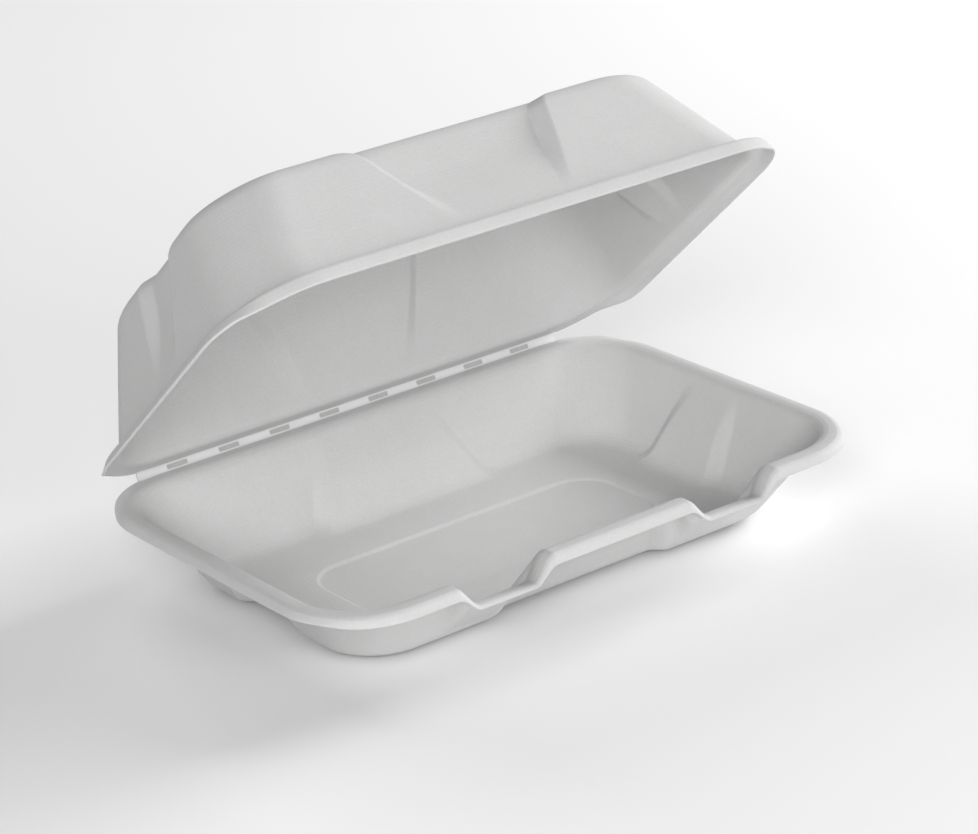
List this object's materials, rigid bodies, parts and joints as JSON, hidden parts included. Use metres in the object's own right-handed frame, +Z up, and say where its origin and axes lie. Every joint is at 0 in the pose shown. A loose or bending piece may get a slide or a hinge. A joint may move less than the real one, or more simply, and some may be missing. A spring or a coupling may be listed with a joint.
{
  "type": "bagasse clamshell container",
  "caption": "Moulded plant-fibre clamshell food container: shallow tray and deeper lid with pressed wall panels, folded at a perforated crease and standing half open.",
  "frame": {"origin": "middle of the tray's underside, on the table", "axes": "+X along the crease, +Y from the front edge towards the crease, +Z up"},
  "size_m": [0.236, 0.1661, 0.1527],
  "materials": {
    "pulp": "matte, fibrous, with a faint screen imprint"
  },
  "bodies": {
    "tray": {"tray": "pulp"},
    "lid": {"lid": "pulp"}
  },
  "joints": [
    {"name": "lid_fold", "type": "hinge", "parent": "tray", "child": "lid", "pos_m": [0, 0.0795, 0.0312], "axis": [-1, 0, 0], "range_deg": [-41, 114]}
  ]
}
